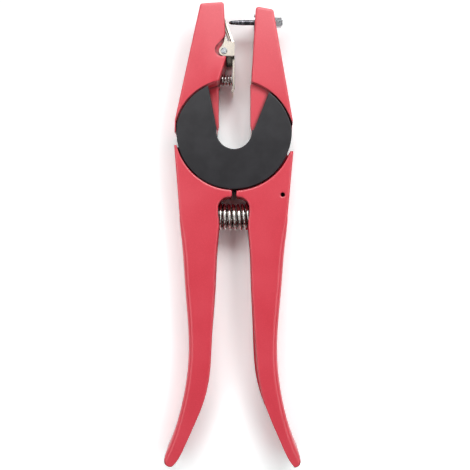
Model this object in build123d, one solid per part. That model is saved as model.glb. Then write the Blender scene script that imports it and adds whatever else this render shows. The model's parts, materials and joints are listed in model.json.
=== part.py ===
"""Ear tag applicator: two crossing die-cast arms on an open-throat ring pivot.

Millimetres. The origin is on the pivot axis, in the plane that the tool lies on.
+Y points to the jaws, +X to the right seen from above, +Z up out of the front face.
The clip arm is left jaw, back hub layer and right handle, cast in one.
The pin arm is right jaw, front hub layer and left handle, cast in one.
"""
import os
from math import cos, radians, sin, sqrt, tan

from build123d import *

os.makedirs("parts", exist_ok=True)

# Stack of layers through the hub
thickness = 24.0
cover_recess = 0.5
cover_thickness = 3.0
shim_thickness = 0.4
running_gap = 0.05
press_gap = 0.02

# Ring pivot
throat_r = 9.5
sleeve_wall = 5.5
cover_r = 31.1
cover_overhang = 3.9
pin_ring_gap = 0.7
clip_ring_gap = 1.0
sleeve_start_angle = 190.0
sleeve_end_angle = 350.0
sleeve_room_angle = 1.0
lip_height = 0.5

# Recesses of the two jaws round the ring, which are not centred on the pivot
clip_recess_x = -2.3
clip_recess_y = -2.3
clip_recess_inset = 1.1
toe_gap = 0.15
pin_recess_x = 0.4
pin_recess_y = -4.1
pin_recess_outset = 0.8
cover_gap = 0.8
cover_corner_r = 0.6
cover_edge_r = 0.5

# Mouth of the throat: straight walls of the castings and slanted edges of the covers
clip_wall_inset = 0.9
pin_wall_inset = 0.6
mouth_low_y = 0.6
mouth_drop = 7.1
hub_flat_drop = 0.6
cover_left_inset = 0.3
cover_left_flare = 4.6
cover_right_outset = 1.1
cover_right_flare = 9.4

# Left jaw, which carries the clip: heights above the top of the ring,
# and the knee and toe beside the ring as distances out from its rim
clip_jaw_top_outer = (-18.1, 37.3)
clip_jaw_top_inner = (-5.5, 38.1)
clip_jaw_waist = (-4.7, 20.6)
clip_jaw_heel = (-4.3, 8.4)
clip_jaw_foot = (-8.1, -3.9)
clip_jaw_knee = (0.7, 6.0)
clip_jaw_toe = (0.95, -0.5)

# Right jaw, which carries the pin, measured in the same way
pin_jaw_top_outer = (21.1, 34.0)
pin_jaw_top_inner = (11.7, 35.8)
pin_jaw_foot = (9.2, -7.1)
pin_jaw_knee = (0.4, 5.8)
pin_jaw_toe = (0.2, 0.5)
jaw_corner_r = 1.6
jaw_edge_r = 0.7

# Handles: width of the gap at the neck, pocket of the spring, walls of the channel
neck_gap = 2.4
neck_r = 1.0
pocket_bridge = 4.2
pocket_flat = 0.1
handle_top_outset = 1.1
web_inset = 1.0
clip_handle_top_y = -10.6
pin_handle_top_y = -7.6
handle_turn = 0.6
outer_wall = 3.2
side_wall = 2.8
channel_r = 2.0
channel_end = 118.0
inner_edge_r = 0.6
tip_x = -34.3
tip_drop = 131.7
tip_r = 3.3
tip_angle = -27.0
hang_hole_inset = 3.2
hang_hole_drop = 3.1
hang_hole_r = 1.2

# Stations down a left handle: distance below the first one, outer X, inner X, rounding of
# the outer edges, and how far the narrow wall of the channel is set back from the wide one
station_drop = 13.9
stations = [
    (0.0, -29.3, -8.6, 0.8, 0.0),
    (13.0, -28.4, -8.8, 2.5, 0.0),
    (35.0, -26.7, -10.2, 2.7, 0.0),
    (56.0, -25.1, -11.3, 2.7, 0.3),
    (73.0, -24.5, -12.1, 2.7, 0.9),
    (88.4, -25.7, -13.4, 2.7, 1.4),
    (104.5, -28.8, -17.7, 2.7, 1.5),
    (120.5, -33.6, -24.7, 2.6, 1.4),
    (136.0, -40.1, -34.2, 2.4, 1.0),
]

# Spring between the handles
spring_mean_r = 6.5
spring_wire_r = 1.0
coil_gap = 0.4
spring_to_bridge = 2.4
seat_x = 13.5
seat_margin = 0.1
stub_room = 0.6
seat_stub = 3.5
seat_gap = 0.1
spring_room = 0.6

# Pin through the right jaw
pin_rise = 30.8
pin_tip_x = -2.8
pin_point = 1.0
pin_point_r = 0.5
pin_tip_r = 1.0
pin_root_r = 1.4
pin_straight = 7.0
pin_shank_r = 2.0
pin_thread_r = 1.5
pin_end_proud = 0.6
pin_slot = 0.7
collar_r = 4.6
collar_thickness = 1.2
collar_proud = 0.5
spot_face_x = 21.2
spot_face_room = 0.5
washer_r = 3.3
washer_thickness = 0.6
nut_flats = 4.8
nut_thickness = 4.4

# Clip on the left jaw
hinge_x = -5.4
hinge_rise = 11.9
hinge_r = 1.25
hinge_head_r = 1.7
hinge_head = 0.45
hinge_head_edge_r = 0.15
head_groove = 0.3
head_groove_depth = 0.2
retainer_r = 2.5
ear_r = 2.7
ear_thickness = 1.2
ear_rise = 4.8
ear_shoulder_x = -3.4
ear_horn = (0.5, 7.6)
ear_tangent_angle = 35.0
ear_step = 0.1
rebate_r = 3.7
rebate_shift = (-1.2, 0.75)
rebate_rise = 8.4
rebate_depth = 1.8
rebate_slack = 0.35
clip_plate_x = -0.25
clip_plate = 1.0
clip_width = 16.0
fork_slot = 8.0
fork_slot_rise = 3.7
fork_end = (-6.1, 1.0)
tail_drop = 6.5
tail_tip = (-1.1, 8.3)
clip_pocket_x = -6.9
clip_pocket_low = 9.9
clip_pocket_high = 3.3
clip_pocket_wall = 3.2
tip_relief_r = 2.4
tip_relief_depth = 5.0

# Spring between the left jaw and the tail of the clip
clip_spring_drop = 13.1
clip_spring_mean_r = 2.9
clip_spring_wire_r = 0.4
clip_coil_gap = 0.75
clip_seat_x = -8.7
clip_seat_room = 0.4
clip_stud_room = 0.4
clip_stud = 2.4
clip_stud_root = 1.0

# Screws that clamp the covers on the sleeve
screw_angles = (205.0, 270.0, 335.0)
screw_r = 1.5
screw_head_r = 2.6
screw_head = 1.6
screw_head_sink = 0.3
screw_fit = 0.05
screw_bite = 1.8
screw_socket_r = 1.2
screw_socket = 1.0

# Sizes worked out from the ring
sleeve_r = throat_r + sleeve_wall
hub_r = cover_r - cover_overhang
pin_recess_r = cover_r + pin_recess_outset
clip_recess_r = cover_r - clip_recess_inset
clip_wall_x = -(throat_r - clip_wall_inset)
pin_wall_x = throat_r - pin_wall_inset
mouth_top_y = cover_r - mouth_drop
hub_flat_y = mouth_top_y - hub_flat_drop
cover_left_low = -(throat_r - cover_left_inset)
cover_left_top = cover_left_low - cover_left_flare
cover_right_low = throat_r + cover_right_outset
cover_right_top = cover_right_low + cover_right_flare
pocket_y = -(cover_r + pocket_bridge)
clip_neck = neck_gap / 2 - pocket_y * tan(radians(handle_turn))
pocket_x = stations[0][2]
pocket_r = -pocket_x - clip_neck - neck_r - pocket_flat
spring_y = pocket_y - spring_to_bridge - spring_wire_r - spring_mean_r
spring_pitch = 2 * spring_wire_r + coil_gap
seat_r = spring_mean_r + spring_wire_r + seat_margin
seat_stub_r = spring_mean_r - spring_wire_r - stub_room
handle_top_x = -(cover_r + handle_top_outset)
handle_join_y = -(cover_r + station_drop)
handle_stations = [
    (handle_join_y - drop, outer_x, inner_x, edge_r, lean)
    for drop, outer_x, inner_x, edge_r, lean in stations
]
channel_end_y = handle_join_y - channel_end
tip_y = handle_join_y - tip_drop
hang_hole_x = -stations[0][1] - hang_hole_inset
hang_hole_y = -(cover_r + hang_hole_drop)
pin_y = cover_r + pin_rise
hinge_y = cover_r + hinge_rise
ear_low_y = hinge_y - ear_r
ear_top_y = hinge_y + ear_rise
pin_end_x = spot_face_x + washer_thickness + nut_thickness + pin_end_proud
fork_slot_y = ear_top_y + fork_slot_rise
clip_spring_y = hinge_y - clip_spring_drop
clip_spring_pitch = 2 * clip_spring_wire_r + clip_coil_gap
clip_seat_r = clip_spring_mean_r + clip_spring_wire_r + clip_seat_room
clip_stud_r = clip_spring_mean_r - clip_spring_wire_r - clip_stud_room

# Heights worked out from the stack
mid_z = thickness / 2
channel_top_y = spring_y + spring_mean_r + spring_wire_r + spring_room
back_cover_low = cover_recess
back_cover_top = back_cover_low + cover_thickness
front_cover_top = thickness - cover_recess
front_cover_low = front_cover_top - cover_thickness
shim_low = mid_z - shim_thickness / 2
shim_top = mid_z + shim_thickness / 2
clip_hub_low = back_cover_top + running_gap
clip_hub_top = shim_low - running_gap
pin_hub_low = shim_top + running_gap
pin_hub_top = front_cover_low - running_gap
reach = 2 * cover_r


def prism(outline, low, high):
    """Raise a flat outline from one height to another."""
    return extrude(Pos(0, 0, low) * outline, amount=high - low)


def polygon(*points):
    """Flat face with straight sides."""
    return make_face(Polyline(*points, close=True))


def rounded(outline, corners):
    """Round the corners nearest the given points, each by its own radius."""
    for x, y, radius in corners:
        corner = outline.vertices().sort_by_distance((x, y, 0))[0]
        outline = fillet(corner, radius)
    return outline


def disc(radius, x=0.0, y=0.0):
    """Round face about a point of the plan."""
    return Pos(x, y) * Circle(radius)


def along_x(radius, start, end, y, z=mid_z):
    """Round bar along X between two stations."""
    return Pos(start, y, z) * Rot(0, 90, 0) * Cylinder(
        radius, end - start, align=(Align.CENTER, Align.CENTER, Align.MIN))


def sector(start, end):
    """Wide wedge about the pivot between two angles in degrees."""
    middle = (start + end) / 2
    angles = (start, (start + middle) / 2, middle, (middle + end) / 2, end)
    rim = [(reach * cos(radians(a)), reach * sin(radians(a))) for a in angles]
    return polygon((0, 0), *rim)


def mouth(left_low, left_top, right_low, right_top):
    """Opening above the throat, between two straight edges run on past the ring."""
    left_slope = (left_top - left_low) / (mouth_top_y - mouth_low_y)
    right_slope = (right_top - right_low) / (mouth_top_y - mouth_low_y)
    rise = reach - mouth_low_y
    return polygon(
        (left_low, mouth_low_y),
        (0, -mouth_low_y),
        (right_low, mouth_low_y),
        (right_low + right_slope * rise, reach),
        (left_low + left_slope * rise, reach),
    )


def coil(mean_r, wire_r, pitch, start, end, y):
    """Plain helical spring along X."""
    path = Helix(pitch, end - start - 2 * wire_r, mean_r)
    section = Plane(origin=path @ 0, z_dir=path % 0) * Circle(wire_r)
    spring = sweep(section, path=path, is_frenet=True)
    return Pos(start + wire_r, y, mid_z) * Rot(0, 90, 0) * spring


def softened(block, edges_of, radius):
    """Round the long edges of the front and back faces that a test picks out."""
    faces = block.faces().filter_by(Axis.Z)
    edges = [edge for face in faces for edge in face.edges() if edges_of(edge)]
    return fillet(edges, radius)


def above_ring(point):
    """Point of a jaw from its X and its height above the top of the ring."""
    return point[0], cover_r + point[1]


def beside_ring(point, side):
    """Point of a jaw from its distance out from the ring's rim and its Y."""
    return side * (cover_r + point[0]), point[1]


# Outlines of the two jaws, run down inside the ring where the hub layers take over
clip_jaw_plan = polygon(
    beside_ring(clip_jaw_toe, -1),
    beside_ring(clip_jaw_knee, -1),
    above_ring(clip_jaw_top_outer),
    above_ring(clip_jaw_top_inner),
    above_ring(clip_jaw_waist),
    above_ring(clip_jaw_heel),
    above_ring(clip_jaw_foot),
    (clip_wall_x, mouth_top_y - cover_thickness),
    (clip_wall_x, clip_jaw_toe[1]),
)
clip_jaw_plan = rounded(clip_jaw_plan, [
    (*above_ring(clip_jaw_top_outer), jaw_corner_r),
    (*above_ring(clip_jaw_top_inner), jaw_corner_r),
])
pin_jaw_plan = polygon(
    beside_ring(pin_jaw_toe, 1),
    beside_ring(pin_jaw_knee, 1),
    above_ring(pin_jaw_top_outer),
    above_ring(pin_jaw_top_inner),
    above_ring(pin_jaw_foot),
    (pin_wall_x, pin_jaw_toe[1]),
)
pin_jaw_plan = rounded(pin_jaw_plan, [
    (*above_ring(pin_jaw_top_outer), jaw_corner_r),
    (*above_ring(pin_jaw_top_inner), jaw_corner_r),
])


def jaw_block(outline, recess):
    """Full-thickness jaw with softened edges, cut back round the ring."""
    block = prism(outline, 0, thickness)
    block = softened(block, lambda edge: edge.center().Y > mouth_low_y, jaw_edge_r)
    return block - prism(recess, 0, thickness)


def section_at(y, outer_x, inner_x, outer_r, lean):
    """Cross-section of a handle: its front wall is the wide one, its back wall set back."""
    plane = Plane(origin=(0, y, 0), x_dir=(1, 0, 0), z_dir=(0, -1, 0))
    outline = polygon(
        (outer_x, 0),
        (inner_x - lean, 0),
        (inner_x, thickness),
        (outer_x, thickness),
    )
    outline = rounded(outline, [
        (outer_x, 0, outer_r),
        (outer_x, thickness, outer_r),
        (inner_x - lean, 0, inner_edge_r),
        (inner_x, thickness, inner_edge_r),
    ])
    return plane * outline


def channel_at(y, outer_x, inner_x):
    """Cross-section of the channel, open past the handle's inner edge."""
    plane = Plane(origin=(0, y, 0), x_dir=(1, 0, 0), z_dir=(0, -1, 0))
    floor_x = outer_x + outer_wall
    mouth_x = inner_x + outer_wall
    outline = polygon(
        (floor_x, side_wall),
        (mouth_x, side_wall),
        (mouth_x, thickness - side_wall),
        (floor_x, thickness - side_wall),
    )
    outline = rounded(outline, [
        (floor_x, side_wall, channel_r),
        (floor_x, thickness - side_wall, channel_r),
    ])
    return plane * outline


def between(y):
    """Outer and inner X of the handle at a height between two stations."""
    for above, below in zip(handle_stations, handle_stations[1:]):
        if below[0] <= y <= above[0]:
            share = (above[0] - y) / (above[0] - below[0])
            outer_x = above[1] + (below[1] - above[1]) * share
            inner_x = above[2] + (below[2] - above[2]) * share
            return outer_x, inner_x
    first = handle_stations[0]
    return first[1] - (y - first[0]) * outer_slope, first[2]


outer_slope = (handle_stations[0][1] - handle_top_x) / (pin_handle_top_y - handle_stations[0][0])
strip_x = (handle_stations[0][1] + handle_stations[0][2]) / 2


def strip_at(y, outer_x):
    """Cross-section of the outer edge of a handle beside the ring."""
    plane = Plane(origin=(0, y, 0), x_dir=(1, 0, 0), z_dir=(0, -1, 0))
    edge_r = handle_stations[0][3]
    outline = polygon(
        (outer_x, 0),
        (strip_x, 0),
        (strip_x, thickness),
        (outer_x, thickness),
    )
    return plane * rounded(outline, [(outer_x, 0, edge_r), (outer_x, thickness, edge_r)])


def left_handle(top_y, neck_x, ring_gap):
    """Handle as it lies on the left, with its wide wall to the front."""
    join_x = handle_stations[0][1]
    corner_x = join_x - (top_y - handle_join_y) * outer_slope
    shoulder = polygon(
        (strip_x - outer_wall, top_y),
        (strip_x - outer_wall, handle_join_y),
        (pocket_x, handle_join_y),
        (pocket_x, pocket_y),
        (-neck_x, pocket_y),
        (-neck_x, top_y),
    )
    shoulder = rounded(shoulder, [
        (pocket_x, pocket_y, pocket_r),
        (-neck_x, pocket_y, neck_r),
    ])
    shoulder = prism(shoulder, 0, thickness)
    shoulder = softened(
        shoulder,
        lambda edge: abs(edge.center().X - pocket_x) < inner_edge_r and edge.center().Y < pocket_y,
        inner_edge_r)
    strip = loft([strip_at(top_y, corner_x), strip_at(handle_join_y, join_x)], ruled=True)
    shoulder = shoulder + strip - prism(disc(cover_r + ring_gap), 0, thickness)
    grip = loft([section_at(*station) for station in handle_stations])
    tip = Rectangle(reach, reach, align=(Align.CENTER, Align.MAX)) - Circle(tip_r)
    tip = Pos(tip_x, tip_y) * Rot(0, 0, tip_angle) * tip
    grip = grip - prism(tip, 0, thickness)
    channel_ys = [channel_top_y]
    channel_ys += [s[0] for s in handle_stations if channel_end_y < s[0] < channel_top_y]
    channel_ys += [channel_end_y]
    channel = loft([channel_at(y, *between(y)) for y in channel_ys])
    handle = shoulder + grip - channel
    wall_x = between(spring_y)[0] + outer_wall / 2
    seat = along_x(seat_r, wall_x, -seat_x, spring_y)
    seat = seat + along_x(seat_stub_r, -seat_x, seat_stub - seat_x, spring_y)
    return handle + seat


def hub_layer(jaw, handle_top_y, ring_gap, side, low, high):
    """C-shaped layer of a casting, joined to its own jaw and its own handle."""
    web_top_y = handle_top_y - web_inset
    web_x = side * (neck_gap / 2 + web_inset)
    web_r = cover_r + ring_gap
    rim = sqrt(web_r ** 2 - web_top_y ** 2)
    web = polygon(
        (web_x, 0),
        (side * throat_r, 0),
        (side * rim, web_top_y),
        (side * rim, -reach),
        (web_x, -reach),
    ) & disc(web_r + web_inset)
    return prism(disc(hub_r) + web + jaw, low, high)


# Clip arm: left jaw, back layer, right handle
clip_arm = hub_layer(
    clip_jaw_plan, clip_handle_top_y, clip_ring_gap, 1, clip_hub_low, clip_hub_top)
clip_arm = clip_arm - prism(disc(sleeve_r + running_gap), clip_hub_low, clip_hub_top)
clip_arm = clip_arm - prism(
    mouth(clip_wall_x, clip_wall_x, cover_right_low, cover_right_top), clip_hub_low, clip_hub_top)
lip = polygon(
    (clip_wall_x, lip_height),
    (-sleeve_r - running_gap, lip_height),
    (-sleeve_r - running_gap, sleeve_r),
    (clip_wall_x, sleeve_r),
) & disc((sleeve_r + hub_r) / 2)
clip_arm = clip_arm + prism(lip - disc(throat_r), clip_hub_low, clip_hub_top)
clip_recess = disc(clip_recess_r, clip_recess_x, clip_recess_y)
clip_recess = clip_recess & (
    Pos(-(cover_r + toe_gap), 0) * Rectangle(2 * reach, 2 * reach, align=(Align.MIN, Align.CENTER)))
right_handle = mirror(left_handle(clip_handle_top_y, clip_neck, clip_ring_gap), Plane.YZ)
right_handle = mirror(Rot(0, 0, -handle_turn) * right_handle, Plane.XZ)
right_handle = Pos(0, 0, thickness) * Rot(180, 0, 0) * right_handle
clip_arm = clip_arm + jaw_block(clip_jaw_plan, clip_recess) + right_handle

# Left jaw: rebates for the ears, pocket behind the fork, holes for hinge and pin tip
rebate_x = hinge_x + rebate_shift[0]
rebate_y = hinge_y + rebate_shift[1]
rebate = polygon(
    (clip_jaw_heel[0], hinge_y + rebate_rise),
    (rebate_x - rebate_r * cos(radians(ear_tangent_angle)),
     rebate_y + rebate_r * sin(radians(ear_tangent_angle))),
    (rebate_x, rebate_y),
    (rebate_x, rebate_y - rebate_r),
    (0, ear_low_y - rebate_slack),
    (0, hinge_y + rebate_rise),
) + disc(rebate_r, rebate_x, rebate_y)
clip_arm = clip_arm - prism(rebate, thickness - rebate_depth, thickness)
clip_arm = clip_arm - prism(rebate, 0, rebate_depth)
clip_arm = clip_arm - prism(disc(hinge_r + press_gap, hinge_x, hinge_y), 0, thickness)
pocket = polygon(
    (clip_pocket_x, pin_y - clip_pocket_low),
    (0, pin_y - clip_pocket_low),
    (0, pin_y + clip_pocket_high),
    (clip_pocket_x, pin_y + clip_pocket_high),
)
clip_arm = clip_arm - prism(pocket, clip_pocket_wall, thickness - clip_pocket_wall)
clip_arm = clip_arm - along_x(tip_relief_r, clip_pocket_x - tip_relief_depth, 0, pin_y)
clip_arm = clip_arm - along_x(clip_seat_r, clip_seat_x, 0, clip_spring_y)
clip_arm = clip_arm + along_x(
    clip_stud_r, clip_seat_x - clip_stud_root, clip_seat_x + clip_stud, clip_spring_y)
clip_arm = clip_arm - prism(disc(hang_hole_r, hang_hole_x, hang_hole_y), 0, thickness)
export_step(clip_arm, "parts/clip_arm.step")

# Pin arm: right jaw, front layer, left handle
pin_arm = hub_layer(
    pin_jaw_plan, pin_handle_top_y, pin_ring_gap, -1, pin_hub_low, pin_hub_top)
pin_arm = pin_arm - prism(disc(throat_r), pin_hub_low, pin_hub_top)
sleeve_room = disc(sleeve_r + press_gap) & sector(
    sleeve_start_angle - sleeve_room_angle, sleeve_end_angle + sleeve_room_angle)
pin_arm = pin_arm - prism(sleeve_room, pin_hub_low, pin_hub_top)
pin_arm = pin_arm - prism(
    mouth(cover_left_low, cover_left_top, pin_wall_x, pin_wall_x), pin_hub_low, pin_hub_top)
hub_flat = polygon((-reach, hub_flat_y), (0, hub_flat_y), (0, reach), (-reach, reach))
pin_arm = pin_arm - prism(hub_flat, pin_hub_low, pin_hub_top)
pin_recess = disc(pin_recess_r, pin_recess_x, pin_recess_y)
pin_arm = pin_arm + jaw_block(pin_jaw_plan, pin_recess)
pin_arm = pin_arm + left_handle(pin_handle_top_y, neck_gap / 2, pin_ring_gap)
collar_seat_x = pin_jaw_foot[0] + (pin_jaw_top_inner[0] - pin_jaw_foot[0]) * (
    pin_rise - pin_jaw_foot[1]) / (pin_jaw_top_inner[1] - pin_jaw_foot[1])
collar_face_x = collar_seat_x - collar_proud
collar_back_x = collar_face_x + collar_thickness
pin_arm = pin_arm - along_x(collar_r + press_gap, 0, collar_back_x, pin_y)
pin_arm = pin_arm - along_x(pin_shank_r + press_gap, 0, reach, pin_y)
pin_arm = pin_arm - along_x(washer_r + spot_face_room, spot_face_x, reach, pin_y)
export_step(pin_arm, "parts/pin_arm.step")

# Covers of the ring, front and back, cut to the two jaws' recesses and to the mouth
cover_plan = disc(cover_r) - disc(throat_r)
left_zone = polygon((0, 0), (-reach, 0), (-reach, reach), (0, reach))
right_zone = polygon((0, 0), (reach, 0), (reach, reach), (0, reach))
cover_plan = cover_plan - (
    left_zone - disc(clip_recess_r - cover_gap, clip_recess_x, clip_recess_y))
cover_plan = cover_plan - (
    right_zone - disc(pin_recess_r - cover_gap, pin_recess_x, pin_recess_y))
cover_plan = cover_plan - mouth(
    cover_left_low, cover_left_top, cover_right_low, cover_right_top)
cover_plan = fillet(cover_plan.vertices(), cover_corner_r)


def cover(low, outer_up):
    """One cover, with the edge of its outer face rounded over."""
    plate = prism(cover_plan, low, low + cover_thickness)
    outer = plate.faces().sort_by(Axis.Z)[-1 if outer_up else 0]
    return fillet(outer.edges(), cover_edge_r)


front_cover = cover(front_cover_low, True)
back_cover = cover(back_cover_low, False)
sleeve_plan = (disc(sleeve_r) - disc(throat_r)) & sector(sleeve_start_angle, sleeve_end_angle)
sleeve = prism(sleeve_plan, back_cover_top, front_cover_low)
screw_ring_r = (throat_r + sleeve_r) / 2
screw_low = back_cover_low + screw_head_sink
screw_top = front_cover_low + screw_bite
screw_body = Pos(0, 0, screw_low) * Cylinder(
    screw_head_r, screw_head, align=(Align.CENTER, Align.CENTER, Align.MIN))
screw_body = screw_body + Pos(0, 0, screw_low) * Cylinder(
    screw_r, screw_top - screw_low, align=(Align.CENTER, Align.CENTER, Align.MIN))
hexagon = prism(RegularPolygon(screw_socket_r, 6), screw_low, screw_low + screw_socket)
screw_body = screw_body - hexagon
screw_places = [
    Pos(screw_ring_r * cos(radians(angle)), screw_ring_r * sin(radians(angle)))
    for angle in screw_angles
]
screws = []
for place in screw_places:
    hole = place * prism(Circle(screw_r + screw_fit), 0, screw_top + screw_fit)
    head_room = place * prism(
        Circle(screw_head_r + screw_fit), 0, screw_low + screw_head)
    back_cover = back_cover - hole - head_room
    sleeve = sleeve - hole
    front_cover = front_cover - hole
    screws.append(place * screw_body)
export_step(front_cover, "parts/hub_cover_front.step")
export_step(back_cover, "parts/hub_cover_back.step")
export_step(sleeve, "parts/hub_sleeve.step")
export_step(Compound(children=screws), "parts/hub_screws.step")

# Shim between the two castings, a C that stops short of the mouth
shim_plan = disc(hub_r) - disc(sleeve_r + screw_fit)
shim_plan = shim_plan - mouth(
    cover_left_low, cover_left_top, cover_right_low, cover_right_top)
export_step(prism(shim_plan, shim_low, shim_top), "parts/hub_shim.step")

# Spring that opens the handles
clip_seat_face_x = seat_x * cos(radians(handle_turn)) + spring_y * sin(radians(handle_turn))
handle_spring = coil(
    spring_mean_r, spring_wire_r, spring_pitch,
    seat_gap - seat_x, clip_seat_face_x - seat_gap, spring_y)
export_step(handle_spring, "parts/handle_spring.step")

# Tag pin, its collar on the inside of the jaw, washer and nut on the outside
pin_profile = polygon(
    (pin_tip_x, 0),
    (pin_tip_x, pin_point_r),
    (pin_tip_x + pin_point, pin_tip_r),
    (collar_face_x - pin_straight, pin_root_r),
    (collar_face_x, pin_root_r),
    (collar_face_x, pin_shank_r),
    (spot_face_x, pin_shank_r),
    (spot_face_x, pin_thread_r),
    (pin_end_x, pin_thread_r),
    (pin_end_x, 0),
)
tag_pin = Pos(0, pin_y, mid_z) * revolve(pin_profile, Axis.X)
slot = Pos(pin_end_x, pin_y, mid_z) * Box(2 * pin_slot, pin_slot, 4 * pin_thread_r)
tag_pin = tag_pin - slot
collar = along_x(collar_r, collar_face_x, collar_back_x, pin_y)
collar = collar - along_x(pin_shank_r + screw_fit, 0, reach, pin_y)
washer = along_x(washer_r, spot_face_x, spot_face_x + washer_thickness, pin_y)
washer = washer - along_x(pin_thread_r + screw_fit, 0, reach, pin_y)
nut_x = spot_face_x + washer_thickness
nut = extrude(RegularPolygon(nut_flats / 2, 6, major_radius=False), amount=nut_thickness)
nut = nut - Cylinder(pin_thread_r + screw_fit, reach)
nut = Pos(nut_x, pin_y, mid_z) * Rot(0, 90, 0) * nut
export_step(tag_pin, "parts/tag_pin.step")
export_step(collar, "parts/pin_collar.step")
export_step(washer, "parts/pin_washer.step")
export_step(nut, "parts/pin_lock_nut.step")

# Clip: one stamping with two ears, a forked nose and a tail
ear_low_z = rebate_depth - ear_thickness - ear_step
tail_end_y = clip_spring_y - tail_drop
tail_point = (tail_tip[0], clip_spring_y - tail_tip[1])
fork_point = (fork_end[0], pin_y + fork_end[1])
spine = trace(
    Polyline(tail_point, (clip_plate_x, tail_end_y), (clip_plate_x, ear_top_y)), clip_plate)
nose = trace(
    Polyline((clip_plate_x, ear_low_y), (clip_plate_x, ear_top_y), fork_point), clip_plate)
tag_clip = prism(spine, mid_z - clip_width / 2, mid_z + clip_width / 2)
tag_clip = tag_clip + prism(nose, mid_z - clip_width / 2, mid_z + clip_width / 2)
fork_room = polygon(
    (-reach, fork_slot_y), (reach, fork_slot_y), (reach, 2 * reach), (-reach, 2 * reach))
tag_clip = tag_clip - prism(fork_room, mid_z - fork_slot / 2, mid_z + fork_slot / 2)
bridge = polygon(
    (clip_plate_x - clip_plate / 2, ear_low_y),
    (clip_plate_x + clip_plate / 2, ear_low_y),
    (clip_plate_x + clip_plate / 2, ear_top_y),
    (clip_plate_x - clip_plate / 2, ear_top_y),
)
tag_clip = tag_clip + prism(bridge, ear_low_z, thickness - ear_low_z)
ear = polygon(
    (clip_plate_x + clip_plate / 2, ear_low_y),
    (clip_plate_x + clip_plate / 2, ear_top_y),
    (ear_shoulder_x, ear_top_y),
    (hinge_x + ear_horn[0], hinge_y + ear_horn[1]),
    (hinge_x, ear_top_y),
    (hinge_x - ear_r * sin(radians(ear_tangent_angle)),
     hinge_y + ear_r * cos(radians(ear_tangent_angle))),
    (hinge_x, ear_low_y),
) + disc(ear_r, hinge_x, hinge_y)
ear = ear - disc(hinge_r + running_gap, hinge_x, hinge_y)
tag_clip = tag_clip + prism(ear, ear_low_z, ear_low_z + ear_thickness)
tag_clip = tag_clip + prism(ear, thickness - ear_low_z - ear_thickness, thickness - ear_low_z)
export_step(tag_clip, "parts/tag_clip.step")

# Hinge pin with a head in front, and the push-on ring that holds it behind
hinge_pin = Pos(hinge_x, hinge_y, thickness - ear_low_z + press_gap) * Cylinder(
    hinge_head_r, hinge_head, align=(Align.CENTER, Align.CENTER, Align.MIN))
hinge_pin = fillet(hinge_pin.edges().group_by(Axis.Z)[-1], hinge_head_edge_r)
head_top_z = thickness - ear_low_z + press_gap + hinge_head
groove = disc(hinge_r + head_groove / 2, hinge_x, hinge_y)
groove = groove - disc(hinge_r - head_groove / 2, hinge_x, hinge_y)
hinge_pin = hinge_pin - prism(groove, head_top_z - head_groove_depth, head_top_z)
hinge_pin = hinge_pin + prism(
    disc(hinge_r, hinge_x, hinge_y), press_gap, thickness - ear_low_z + hinge_head / 2)
retainer = disc(retainer_r, hinge_x, hinge_y) - disc(hinge_r + press_gap, hinge_x, hinge_y)
retainer = prism(retainer, press_gap, ear_low_z - press_gap)
export_step(hinge_pin, "parts/clip_hinge_pin.step")
export_step(retainer, "parts/clip_pin_retainer.step")

# Small spring that keeps the clip shut
clip_spring = coil(
    clip_spring_mean_r, clip_spring_wire_r, clip_spring_pitch,
    clip_seat_x + seat_gap, clip_plate_x - clip_plate / 2 - seat_gap, clip_spring_y)
export_step(clip_spring, "parts/clip_spring.step")
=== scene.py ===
# %% [markdown]
# # Ear tag applicator
# A plier for livestock ear tags: two red castings cross in a black ring whose throat is open,
# so that an animal's ear can reach past the pivot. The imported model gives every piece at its
# real size. This lesson dresses those pieces: it softens edges, winds the springs, mixes the
# finishes and lights the tool as it lies on a white bench.

# %% Load the fixed frame and measure it
import json
import math

import bmesh
import bpy
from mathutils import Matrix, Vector


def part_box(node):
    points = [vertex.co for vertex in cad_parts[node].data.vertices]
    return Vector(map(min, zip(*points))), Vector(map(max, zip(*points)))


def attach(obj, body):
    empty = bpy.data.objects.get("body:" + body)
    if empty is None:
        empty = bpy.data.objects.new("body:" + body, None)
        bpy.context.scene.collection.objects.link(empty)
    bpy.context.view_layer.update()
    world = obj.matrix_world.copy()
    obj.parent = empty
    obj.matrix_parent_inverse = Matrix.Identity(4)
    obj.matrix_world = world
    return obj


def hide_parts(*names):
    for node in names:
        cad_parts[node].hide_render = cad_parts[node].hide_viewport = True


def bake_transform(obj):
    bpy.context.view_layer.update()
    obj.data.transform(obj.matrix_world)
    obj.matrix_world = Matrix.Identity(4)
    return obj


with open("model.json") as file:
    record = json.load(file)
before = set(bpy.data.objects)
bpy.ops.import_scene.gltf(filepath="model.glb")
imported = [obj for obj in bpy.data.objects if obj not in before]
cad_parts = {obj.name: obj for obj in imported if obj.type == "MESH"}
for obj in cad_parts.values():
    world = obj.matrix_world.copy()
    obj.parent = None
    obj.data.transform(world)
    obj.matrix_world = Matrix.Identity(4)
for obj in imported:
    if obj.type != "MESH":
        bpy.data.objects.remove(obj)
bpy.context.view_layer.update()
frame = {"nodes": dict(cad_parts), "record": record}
MM = 0.001
scene = bpy.context.scene


# %% [markdown]
# ## Helpers for materials and node trees
# Blender's shaders work in linear light, while a paint maker's colour is written in sRGB hex, so
# one function turns the one into the other. A second fills a node's sockets, and a third adds a
# node with its settings, its colour stops and its sockets in one line, which keeps every recipe
# below short enough to read.

# %% Colour and node helpers
def linear(code):
    """Linear RGBA from an sRGB hex colour such as D8404F."""
    channels = [int(code[i:i + 2], 16) / 255 for i in (0, 2, 4)]
    return (*[c / 12.92 if c <= 0.04045 else ((c + 0.055) / 1.055) ** 2.4 for c in channels], 1.0)


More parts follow.
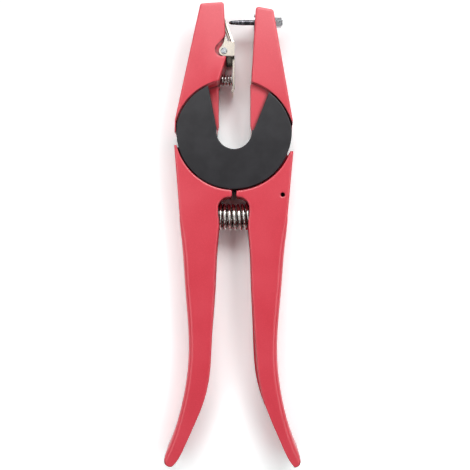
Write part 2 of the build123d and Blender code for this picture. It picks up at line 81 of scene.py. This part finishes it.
def fill(tree, node, sockets):
    """Give a node's inputs their values, or link them to another node's outputs."""
    for name, value in sockets.items():
        if isinstance(value, bpy.types.NodeSocket):
            tree.links.new(value, node.inputs[name])
        else:
            node.inputs[name].default_value = value


def add(tree, kind, sockets=None, stops=(), **settings):
    """One node with its settings, its colour stops and its inputs."""
    node = tree.nodes.new(kind)
    for name, value in settings.items():
        setattr(node, name, value)
    for index, (position, code) in enumerate(stops):
        points = node.color_ramp.elements
        point = points[index] if index < len(points) else points.new(position)
        point.position = position
        point.color = linear(code)
    fill(tree, node, sockets or {})
    return node


print("mid grey 808080 in linear light", round(linear("808080")[0], 3))


# %% [markdown]
# ## What all finishes share
# Every finish reads the object's own coordinates, so its pattern keeps a real size and stays put
# when a joint moves. Real edges are never knife sharp: a Bevel node bends the light over them, which
# costs no faces, and the bump of the surface lies on top. In narrow corners shade is painted into
# the colour. It could be painted by hand, but Ambient Occlusion finds those corners by itself,
# within a reach that is given in millimetres. A noise seldom leaves the range from 0.3 to 0.7, so
# the finishes spread their gloss over that range.

# %% New material, softened relief and painted shade
NOISE_LOW = 0.3
NOISE_HIGH = 0.7
SHUT_IN = 0.3
WIDE_OPEN = 0.85
RAYS = 8


def new_material(name):
    """An empty material: its node tree, its shader and the object's own coordinates."""
    material = bpy.data.materials.new(name)
    material.use_nodes = True
    tree = material.node_tree
    shader = tree.nodes["Principled BSDF"]
    place = add(tree, "ShaderNodeTexCoord").outputs["Object"]
    return material, tree, shader, place


def relief(tree, height, depth_mm, edge_mm):
    """Normal of a bump of a real depth, over edges that look broken by a small radius."""
    edge = add(tree, "ShaderNodeBevel", {"Radius": edge_mm * MM}, samples=RAYS)
    bump = add(tree, "ShaderNodeBump", {"Height": height, "Normal": edge.outputs["Normal"],
                                        "Distance": depth_mm * MM, "Strength": 1.0})
    return bump.outputs["Normal"]


def with_painted_shade(tree, colour, reach_mm, painted_shade):
    """The colour with painted shade, darkened where other surfaces close it in within a real reach.
    """
    corner = add(tree, "ShaderNodeAmbientOcclusion", {"Distance": reach_mm * MM}, samples=RAYS)
    veil = add(tree, "ShaderNodeValToRGB", {"Fac": corner.outputs["AO"]},
               stops=[(SHUT_IN, painted_shade), (WIDE_OPEN, "FFFFFF")])
    dark = add(tree, "ShaderNodeVectorMath", {0: colour, 1: veil.outputs["Color"]},
               operation="MULTIPLY")
    return dark.outputs[0]


print("grime begins where a point is less than", WIDE_OPEN, "open, and is full at", SHUT_IN)


# %% [markdown]
# ## Red enamel on die-cast aluminium
# The castings are sprayed with a satin enamel and baked. Up close such paint has a faint orange
# peel, about a millimetre from crest to crest, and fine specks where the spray landed dry. One
# flat red under a clear coat would be quicker, but it looks like plastic. So three near reds
# drift into each other, the gloss is a little uneven, and a very shallow bump makes the peel.
# Shade is painted into the red in the narrow corners, such as the recess round the clip's ear and
# the rim of the ring. The eye gets a soft sheen with a brighter line along each rounded edge.

# %% Red enamel
ENAMEL_REDS = [(0.36, "D83747"), (0.5, "DC3A4B"), (0.66, "E04151")]
ENAMEL_CLOUD_MM = 22.0
ENAMEL_SPECK_MM = 0.55
ENAMEL_GLOSSIEST = 0.29
ENAMEL_DULLEST = 0.34
ENAMEL_IOR = 1.58
ENAMEL_SHEEN = 0.75
PEEL_MM = 1.1
PEEL_DEPTH_MM = 0.012
ENAMEL_EDGE_MM = 1.5
# Painted shade in the enamel's narrow corners: its colour and how far it reaches
ENAMEL_PAINTED_SHADE = "634C4E"
ENAMEL_SHADE_REACH_MM = 2.5


def red_enamel():
    """Satin red stoving enamel."""
    material, tree, shader, place = new_material("satin_red_enamel")
    cloud = add(tree, "ShaderNodeTexNoise",
                {"Vector": place, "Scale": 1 / (ENAMEL_CLOUD_MM * MM), "Detail": 3.0}).outputs["Fac"]
    speck = add(tree, "ShaderNodeTexNoise",
                {"Vector": place, "Scale": 1 / (ENAMEL_SPECK_MM * MM), "Detail": 1.0}).outputs["Fac"]
    peel = add(tree, "ShaderNodeTexNoise",
               {"Vector": place, "Scale": 1 / (PEEL_MM * MM), "Detail": 1.5}).outputs["Fac"]
    mixed = add(tree, "ShaderNodeMix", {0: speck, 2: cloud, 3: speck}, data_type="FLOAT")
    red = add(tree, "ShaderNodeValToRGB", {"Fac": mixed.outputs[0]}, stops=ENAMEL_REDS)
    gloss = add(tree, "ShaderNodeMapRange",
                {"Value": cloud, "From Min": NOISE_LOW, "From Max": NOISE_HIGH,
                 "To Min": ENAMEL_GLOSSIEST, "To Max": ENAMEL_DULLEST})
    fill(tree, shader, {
        "Base Color": with_painted_shade(tree, red.outputs["Color"], ENAMEL_SHADE_REACH_MM, ENAMEL_PAINTED_SHADE),
        "Roughness": gloss.outputs[0],
        "IOR": ENAMEL_IOR,
        "Specular IOR Level": ENAMEL_SHEEN,
        "Normal": relief(tree, peel, PEEL_DEPTH_MM, ENAMEL_EDGE_MM),
    })
    return material


enamel = red_enamel()
print("enamel with", len(enamel.node_tree.nodes), "nodes")


# %% [markdown]
# ## Moulded black nylon
# The covers of the ring are injection moulded in glass-filled nylon. It comes out of the mould
# with a dull sheen and a fine spark-eroded grain, and it greys slightly where it is handled.
# The grain could be a picture, but a noise needs no file and never repeats. A real grain is a
# tenth or two of a millimetre across and would vanish at this distance, so it is drawn at about
# half a millimetre. The eye gets a deep grey that breaks the light into a fine, even haze.

# %% Black nylon
NYLON_TONES = [(0.38, "1F1E22"), (0.64, "29282C")]
HANDLED_MM = 9.0
GRAIN_MM = 0.45
GRAIN_DEPTH_MM = 0.02
NYLON_EDGE_MM = 0.3
NYLON_GLOSSIEST = 0.28
NYLON_DULLEST = 0.38
NYLON_IOR = 1.53


def black_nylon():
    """Glass-filled nylon with a spark-eroded grain."""
    material, tree, shader, place = new_material("moulded_black_nylon")
    handled = add(tree, "ShaderNodeTexNoise",
                  {"Vector": place, "Scale": 1 / (HANDLED_MM * MM), "Detail": 4.0, "Roughness": 0.6})
    grain = add(tree, "ShaderNodeTexNoise",
                {"Vector": place, "Scale": 1 / (GRAIN_MM * MM), "Detail": 1.0}).outputs["Fac"]
    tone = add(tree, "ShaderNodeValToRGB", {"Fac": handled.outputs["Fac"]}, stops=NYLON_TONES)
    gloss = add(tree, "ShaderNodeMapRange",
                {"Value": grain, "From Min": NOISE_LOW, "From Max": NOISE_HIGH,
                 "To Min": NYLON_GLOSSIEST, "To Max": NYLON_DULLEST})
    fill(tree, shader, {
        "Base Color": tone.outputs["Color"],
        "Roughness": gloss.outputs[0],
        "IOR": NYLON_IOR,
        "Normal": relief(tree, grain, GRAIN_DEPTH_MM, NYLON_EDGE_MM),
    })
    return material


nylon = black_nylon()
print("nylon with", len(nylon.node_tree.nodes), "nodes")


# %% [markdown]
# ## Metals
# Plated wire, a nickel-plated stamping, zinc-plated fasteners, a turned sleeve and a dark hardened
# pin differ only in tint, in gloss and in the trace of their making: a turned pin has rings round
# its axis, a stamping has a rolled grain. Five separate recipes would repeat each other, so one
# function takes those differences, and a stretch of the pattern gives it its direction. Real tool
# marks are finer than a pixel at this distance, so they are drawn about a millimetre wide. Shade is
# painted into every metal's colour where its surface is closed in within about a millimetre, such
# as round a pin's head and between the coils. The clip stands deep beside its jaw, so there the
# painted shade reaches further.

# %% Recipe for a metal
# Colour of the painted shade where a metal is closed in
METAL_PAINTED_SHADE = "393531"
PATCH_LOW = 0.35
PATCH_HIGH = 0.65
METAL_DEPTH_MM = 0.004
METAL_EDGE_MM = 0.12


def metal(name, tones, gloss, patch_mm, stretch=(1, 1, 1), shade_reach_mm=1.0):
    """Bare or plated metal between two tones and two roughnesses."""
    material, tree, shader, place = new_material(name)
    drawn = add(tree, "ShaderNodeMapping", {"Vector": place, "Scale": stretch}).outputs[0]
    patch = add(tree, "ShaderNodeTexNoise",
                {"Vector": drawn, "Scale": 1 / (patch_mm * MM), "Detail": 3.0}).outputs["Fac"]
    tint = add(tree, "ShaderNodeValToRGB", {"Fac": patch},
               stops=[(PATCH_LOW, tones[0]), (PATCH_HIGH, tones[1])])
    rough = add(tree, "ShaderNodeMapRange",
                {"Value": patch, "From Min": NOISE_LOW, "From Max": NOISE_HIGH,
                 "To Min": gloss[0], "To Max": gloss[1]})
    # The tint gets painted shade where the metal is closed in
    fill(tree, shader, {
        "Base Color": with_painted_shade(tree, tint.outputs["Color"], shade_reach_mm, METAL_PAINTED_SHADE),
        "Roughness": rough.outputs[0],
        "Metallic": 1.0,
        "Normal": relief(tree, patch, METAL_DEPTH_MM, METAL_EDGE_MM),
    })
    return material


print("a metal's patches stand", METAL_DEPTH_MM, "mm high")


# %% The five metals
# Warm, nearly white, with a faint grain along the strip it was stamped from; its painted shade
# reaches far, as the clip stands deep beside its jaw
nickel = metal("bright_nickel_plate", ("DDD4C7", "EAE1D4"), gloss=(0.1, 0.2), patch_mm=1.2,
               stretch=(1, 0.25, 1), shade_reach_mm=8.0)
# Drawn and polished wire, which shows the lamps as hard white lines
wire = metal("polished_spring_wire", ("C4C2BE", "E6E4E0"), gloss=(0.1, 0.18), patch_mm=0.8)
# Dark scale of a hardened pin, with the rings of the lathe round its axis
dark_steel = metal("dark_hardened_steel", ("3E3D42", "7C7A80"), gloss=(0.18, 0.34), patch_mm=0.9,
                   stretch=(1, 0.2, 0.2))
# Cool, slightly cloudy grey of plated screws and nuts
zinc = metal("bright_zinc_plate", ("B4B8BC", "D5D8DB"), gloss=(0.14, 0.26), patch_mm=0.9)
# Plain turned steel, with fine rings round the pivot
bearing = metal("turned_bearing_steel", ("8E8D8C", "AFAEAC"), gloss=(0.28, 0.4), patch_mm=0.7,
                stretch=(1, 1, 5))
print("materials", [material.name for material in (nickel, wire, dark_steel, zinc, bearing)])


# %% [markdown]
# ## Dressing a imported piece
# A imported node is a loose set of triangles with hard facets. It could be remodelled, but its form
# is exact already, and it must stay as it is. So a copy is taken and its corners are welded. The
# triangles of a flat face are joined again, because long slivers shade unevenly, and the faces
# are shaded smooth except across real edges, with the large flat faces leading the normals. The
# copy then stands for the node, rides on the node's body and keeps its exact form.

# %% Which body each node belongs to
BODY_OF = {node: body for body, nodes in frame["record"]["behaviour"]["bodies"].items()
           for node in nodes}


# %% Weld and smooth a copy
WELD_DISTANCE = 0.001 * MM
FLAT_DEG = 0.2
CREASE_DEG = 40.0


def bake_modifiers(piece):
    """Turn a piece with modifiers into a plain mesh of the same name."""
    bpy.context.view_layer.update()
    graph = bpy.context.evaluated_depsgraph_get()
    plain = bpy.data.meshes.new_from_object(piece.evaluated_get(graph))
    plain.name = piece.name
    piece.modifiers.clear()
    piece.data = plain


def welded_copy(node, name):
    """Copy of a node's mesh, welded and shaded smooth across shallow edges."""
    mesh = frame["nodes"][node].data.copy()
    mesh.name = name
    work = bmesh.new()
    work.from_mesh(mesh)
    bmesh.ops.remove_doubles(work, verts=work.verts, dist=WELD_DISTANCE)
    bmesh.ops.dissolve_degenerate(work, edges=work.edges, dist=WELD_DISTANCE)
    bmesh.ops.dissolve_limit(work, angle_limit=math.radians(FLAT_DEG), verts=work.verts,
                             edges=work.edges)
    work.to_mesh(mesh)
    work.free()
    for layer in list(mesh.color_attributes):
        mesh.color_attributes.remove(layer)
    mesh.shade_smooth()
    mesh.set_sharp_from_angle(angle=math.radians(CREASE_DEG))
    piece = bpy.data.objects.new(name, mesh)
    scene.collection.objects.link(piece)
    flat = piece.modifiers.new("flat_faces_lead", "WEIGHTED_NORMAL")
    flat.keep_sharp = True
    bake_modifiers(piece)
    return piece


print("corners closer than", WELD_DISTANCE / MM, "mm are welded")


# %% Dress every rigid node
FINISHES = {
    "pin_arm": enamel,
    "clip_arm": enamel,
    "hub_cover_front": nylon,
    "hub_cover_back": nylon,
    "hub_sleeve": bearing,
    "hub_shim": nylon,
    "hub_screws": zinc,
    "tag_pin": dark_steel,
    "pin_collar": zinc,
    "pin_washer": zinc,
    "pin_lock_nut": zinc,
    "tag_clip": nickel,
    "clip_hinge_pin": zinc,
    "clip_pin_retainer": zinc,
}


def dress(node, material):
    """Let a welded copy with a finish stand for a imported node."""
    piece = welded_copy(node, node + "_finished")
    piece.data.materials.clear()
    piece.data.materials.append(material)
    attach(piece, BODY_OF[node])
    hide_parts(node)
    print("dressed", node, len(piece.data.polygons), "faces")


for node_name, finish in FINISHES.items():
    dress(node_name, finish)


# %% [markdown]
# ## Springs wound by Geometry Nodes
# A coil is one curve swept with a round wire. It could be a screw modifier on a circle, but that
# can't bow the coil or close its ends. Geometry Nodes can, from a few named inputs, so one group
# winds both springs: the stiff one between the handles, which bows a little towards the grips as
# its seats are not quite parallel, and the small one behind the clip. A straight line is cut into
# points. Each point is turned round the coil's axis, moved along X by a share that grows more
# slowly at both ends, as the end turns of a compression spring are wound closer, and then carried
# round a large circle to give the bow.

# %% Inputs of the spring and the sums behind each of its points
POINTS_PER_TURN = 40.0
WIRE_SIDES = 14
END_CLOSING = 0.12
FULL_TURN = 2 * math.pi
COIL_INPUTS = [("Start", "NodeSocketVector"), ("Length", "NodeSocketFloat"),
               ("Turns", "NodeSocketFloat"), ("Mean radius", "NodeSocketFloat"),
               ("Wire radius", "NodeSocketFloat"), ("Closing", "NodeSocketFloat"),
               ("Bow radius", "NodeSocketFloat"), ("Sag", "NodeSocketFloat"),
               ("Phase", "NodeSocketFloat"), ("Material", "NodeSocketMaterial")]
# Each line is one Math node: the name of its result, its operation and what goes into it
COIL_SUMS = [
    ("points", "MULTIPLY", "Turns", POINTS_PER_TURN),
    ("sweep", "MULTIPLY", "along", FULL_TURN),
    ("swing", "SINE", "sweep"),
    ("closing share", "DIVIDE", "Closing", FULL_TURN),
    ("closer", "MULTIPLY", "swing", "closing share"),
    ("eased", "SUBTRACT", "along", "closer"),
    ("run", "MULTIPLY", "eased", "Length"),
    ("turns so far", "MULTIPLY", "along", "Turns"),
    ("wound", "MULTIPLY", "turns so far", FULL_TURN),
    ("turned", "ADD", "wound", "Phase"),
    ("towards jaws", "COSINE", "turned"),
    ("rise", "MULTIPLY", "towards jaws", "Mean radius"),
    ("upwards", "SINE", "turned"),
    ("height", "MULTIPLY", "upwards", "Mean radius"),
    ("middle", "MULTIPLY", "Length", 0.5),
    ("from middle", "SUBTRACT", "run", "middle"),
    ("bow angle", "DIVIDE", "from middle", "Bow radius"),
    ("arm", "SUBTRACT", "Bow radius", "rise"),
    ("bow sine", "SINE", "bow angle"),
    ("aside", "MULTIPLY", "arm", "bow sine"),
    ("x", "ADD", "middle", "aside"),
    ("bow cosine", "COSINE", "bow angle"),
    ("reach", "MULTIPLY", "arm", "bow cosine"),
    ("lag", "SUBTRACT", "Bow radius", "reach"),
    ("y", "SUBTRACT", "lag", "Sag"),
]
print("spring inputs", len(COIL_INPUTS), "and sums", len(COIL_SUMS))


# %% Node group that winds a spring along X
def coil_group():
    """Closed-end compression spring, bowed towards -Y."""
    tree = bpy.data.node_groups.new("wound_spring", "GeometryNodeTree")
    tree.interface.new_socket("Geometry", in_out="OUTPUT", socket_type="NodeSocketGeometry")
    for name, kind in COIL_INPUTS:
        tree.interface.new_socket(name, in_out="INPUT", socket_type=kind)
    given = add(tree, "NodeGroupInput").outputs
    known = {name: given[name] for name, kind in COIL_INPUTS}
    known["along"] = add(tree, "GeometryNodeSplineParameter").outputs["Factor"]
    for result, operation, *parts in COIL_SUMS:
        sources = {index: known.get(part, part) for index, part in enumerate(parts)}
        known[result] = add(tree, "ShaderNodeMath", sources, operation=operation).outputs[0]
    line = add(tree, "GeometryNodeCurvePrimitiveLine")
    fine = add(tree, "GeometryNodeResampleCurve",
               {"Curve": line.outputs[0], "Count": known["points"]})
    place = add(tree, "ShaderNodeCombineXYZ",
                {"X": known["x"], "Y": known["y"], "Z": known["height"]})
    moved = add(tree, "ShaderNodeVectorMath", {0: place.outputs[0], 1: known["Start"]},
                operation="ADD")
    wound = add(tree, "GeometryNodeSetPosition",
                {"Geometry": fine.outputs[0], "Position": moved.outputs[0]})
    ring = add(tree, "GeometryNodeCurvePrimitiveCircle",
               {"Radius": known["Wire radius"], "Resolution": WIRE_SIDES})
    swept = add(tree, "GeometryNodeCurveToMesh",
                {"Curve": wound.outputs[0], "Profile Curve": ring.outputs[0], "Fill Caps": True})
    smooth = add(tree, "GeometryNodeSetShadeSmooth", {"Geometry": swept.outputs[0]})
    real = add(tree, "GeometryNodeRealizeInstances", {"Geometry": smooth.outputs[0]})
    painted = add(tree, "GeometryNodeSetMaterial",
                  {"Geometry": real.outputs[0], "Material": known["Material"]})
    add(tree, "NodeGroupOutput", {0: painted.outputs[0]})
    return tree


winder = coil_group()
print("spring group with", len(winder.nodes), "nodes")


# %% Wind both springs between their packed seats
def wind(node, wire_r, turns, bow_r, phase):
    """Spring in the place of a packed coil, bowed between its seats."""
    low, high = (Vector(corner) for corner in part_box(node))
    middle = (low + high) / 2
    length = high.x - low.x - 2 * wire_r
    sizes = {"Start": (low.x + wire_r, middle.y, middle.z), "Length": length, "Turns": turns,
             "Mean radius": (high.y - low.y) / 2 - wire_r, "Wire radius": wire_r,
             "Closing": END_CLOSING, "Bow radius": bow_r,
             "Sag": (length / 2) ** 2 / (2 * bow_r), "Phase": phase, "Material": wire}
    piece = bpy.data.objects.new(node + "_wound", bpy.data.meshes.new(node + "_wound"))
    scene.collection.objects.link(piece)
    winding = piece.modifiers.new("winding", "NODES")
    winding.node_group = winder
    for item in winder.interface.items_tree:
        if item.in_out == "INPUT":
            winding[item.identifier] = sizes[item.name]
    bake_modifiers(piece)
    piece.data.materials.clear()
    piece.data.materials.append(wire)
    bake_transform(piece)
    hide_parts(node)
    print("wound", node, "length", round(length / MM, 1), "mm,", len(piece.data.polygons), "faces")


wind("handle_spring", wire_r=1.0 * MM, turns=10.1, bow_r=90 * MM, phase=0.4)
wind("clip_spring", wire_r=0.4 * MM, turns=4.5, bow_r=60 * MM, phase=0.0)


# %% [markdown]
# ## White bench
# The tool lies on a white bench that runs off to white all round. More light would whiten it,
# but would bleach the red as well. So to the camera and in reflections the bench is whiter than
# the light makes it, most of all near the grips, and it fades to pure white far away. Close to the
# tool it keeps its shadows, and it lights the tool no more than a plain white bench does.

# %% Bench laminate
BENCH_WHITE = "EEF4F4"
GRIPS_Y = -60 * MM
JAWS_Y = 60 * MM
GAIN_NEAR_GRIPS = 1.58
GAIN_NEAR_JAWS = 1.2
WHITE_FROM = 240 * MM
WHITE_TO = 500 * MM


def bench_material():
    """White laminate, lifted for the rays that the eye follows."""
    material, tree, shader, place = new_material("white_bench")
    fill(tree, shader, {"Base Color": linear(BENCH_WHITE), "Roughness": 0.9,
                        "Specular IOR Level": 0.1})
    along = add(tree, "ShaderNodeSeparateXYZ", {0: place}).outputs["Y"]
    gain = add(tree, "ShaderNodeMapRange",
               {"Value": along, "From Min": GRIPS_Y, "From Max": JAWS_Y,
                "To Min": GAIN_NEAR_GRIPS, "To Max": GAIN_NEAR_JAWS})
    lifted = add(tree, "ShaderNodeVectorMath",
                 {0: linear(BENCH_WHITE)[:3], "Scale": gain.outputs[0]}, operation="SCALE")
    near = add(tree, "ShaderNodeBsdfDiffuse", {"Color": lifted.outputs[0]})
    far = add(tree, "ShaderNodeEmission", {"Color": linear("FFFFFF"), "Strength": 1.0})
    distance = add(tree, "ShaderNodeVectorMath", {0: place}, operation="LENGTH")
    fade = add(tree, "ShaderNodeMapRange",
               {"Value": distance.outputs["Value"], "From Min": WHITE_FROM, "From Max": WHITE_TO},
               interpolation_type="SMOOTHSTEP")
    white = add(tree, "ShaderNodeMixShader",
                {0: fade.outputs[0], 1: near.outputs[0], 2: far.outputs[0]})
    path = add(tree, "ShaderNodeLightPath").outputs
    seen = add(tree, "ShaderNodeMath", {0: path["Is Camera Ray"], 1: path["Is Glossy Ray"]},
               operation="MAXIMUM")
    seen = add(tree, "ShaderNodeMath", {0: seen.outputs[0], 1: path["Is Transmission Ray"]},
               operation="MAXIMUM")
    mixed = add(tree, "ShaderNodeMixShader",
                {0: seen.outputs[0], 1: shader.outputs[0], 2: white.outputs[0]})
    fill(tree, tree.nodes["Material Output"], {"Surface": mixed.outputs[0]})
    return material


laminate = bench_material()
print("bench laminate with", len(laminate.node_tree.nodes), "nodes")


# %% Bench, a hair's breadth under the tool
BENCH_HALF = 1500 * MM
BENCH_DROP = 0.05 * MM
corners = [(x * BENCH_HALF, y * BENCH_HALF, -BENCH_DROP)
           for x, y in ((-1, -1), (1, -1), (1, 1), (-1, 1))]
bench_mesh = bpy.data.meshes.new("bench")
bench_mesh.from_pydata(corners, [], [(0, 1, 2, 3)])
bench_mesh.materials.append(laminate)
bench = bpy.data.objects.new("bench", bench_mesh)
scene.collection.objects.link(bench)
print("bench", round(2 * BENCH_HALF, 1), "m square")


# %% [markdown]
# ## Soft lamps
# The strongest lamp stands beyond the jaws, so that the ring shades the bench between the handles.
# A weaker one hangs higher, to the left of it, and the weakest stands behind the grips. A lamp on
# either side draws the bright line along each rounded edge. One big lamp overhead would be
# simpler, but it would leave the red flat and the gap between the handles without a shadow.

# %% Lamps
def lamp(name, place, aim, width, depth, watts):
    """A soft rectangular lamp that faces a point."""
    data = bpy.data.lights.new(name, "AREA")
    data.shape = "RECTANGLE"
    data.size = width
    data.size_y = depth
    data.energy = watts
    light = bpy.data.objects.new(name, data)
    light.location = place
    light.rotation_euler = (Vector(aim) - Vector(place)).to_track_quat("-Z", "Y").to_euler()
    scene.collection.objects.link(light)
    print(name, watts, "W")


lamp("overhead_lamp", place=(-0.3, 0.43, 0.9), aim=(-0.2, 0.2, 0.0), width=0.9, depth=0.58,
     watts=1.6)
lamp("far_lamp", place=(0.17, 0.57, 0.7), aim=(0.0, 0.0, 0.0), width=0.75, depth=0.38, watts=5.9)
lamp("near_lamp", place=(0.0, -0.72, 0.7), aim=(0.0, -0.05, 0.0), width=0.7, depth=0.3, watts=0.5)
for name, side in (("left_lamp", -1), ("right_lamp", 1)):
    lamp(name, place=(side * 0.46, -0.03, 0.8), aim=(0.0, -0.03, 0.0), width=0.9, depth=0.3,
         watts=1.9)


# %% [markdown]
# ## A room to mirror
# Bright metal only looks like metal when it has something dark to mirror. A picture of a real
# studio could surround the tool, but a few tones are enough: white at the horizon, where the room
# meets the bench, and dark above it. The height of a direction, from 0 at the horizon to 1
# straight up, picks the tone.

# %% Room
ROOM_TONES = [(0.16, "FFFFFF"), (0.24, "242424"), (0.6, "303030"), (0.97, "585858")]
world = bpy.data.worlds.new("studio_room")
scene.world = world
world.use_nodes = True
room = world.node_tree
direction = add(room, "ShaderNodeTexCoord").outputs["Generated"]
height = add(room, "ShaderNodeSeparateXYZ", {0: direction}).outputs["Z"]
walls = add(room, "ShaderNodeValToRGB", {"Fac": height}, stops=ROOM_TONES)
fill(room, room.nodes["Background"], {"Color": walls.outputs["Color"], "Strength": 1.0})
print("room tones", ROOM_TONES)


# %% [markdown]
# ## Camera
# A view from infinitely far away would be simplest to compare with a drawing. The photographer
# stood close, though, which is why the inner walls of the handles can be seen. So the camera looks
# straight down from a third of a metre above the front face, and its lens is worked out from the
# width that the picture takes in at that face.

# %% Camera over the tool
CAMERA_X = 0.5 * MM
CAMERA_Y = -55.8 * MM
CAMERA_RISE = 335 * MM
FRONT_FACE = 24 * MM
PICTURE_WIDTH = 251.6 * MM
SENSOR_MM = 36.0
camera_data = bpy.data.cameras.new("camera")
camera_data.sensor_width = SENSOR_MM
camera_data.lens = SENSOR_MM * CAMERA_RISE / PICTURE_WIDTH
camera_data.clip_start = 10 * MM
camera = bpy.data.objects.new("camera", camera_data)
camera.location = (CAMERA_X, CAMERA_Y, FRONT_FACE + CAMERA_RISE)
scene.collection.objects.link(camera)
scene.camera = camera
scene.view_settings.view_transform = "Standard"
print("lens", round(camera_data.lens, 1), "mm")
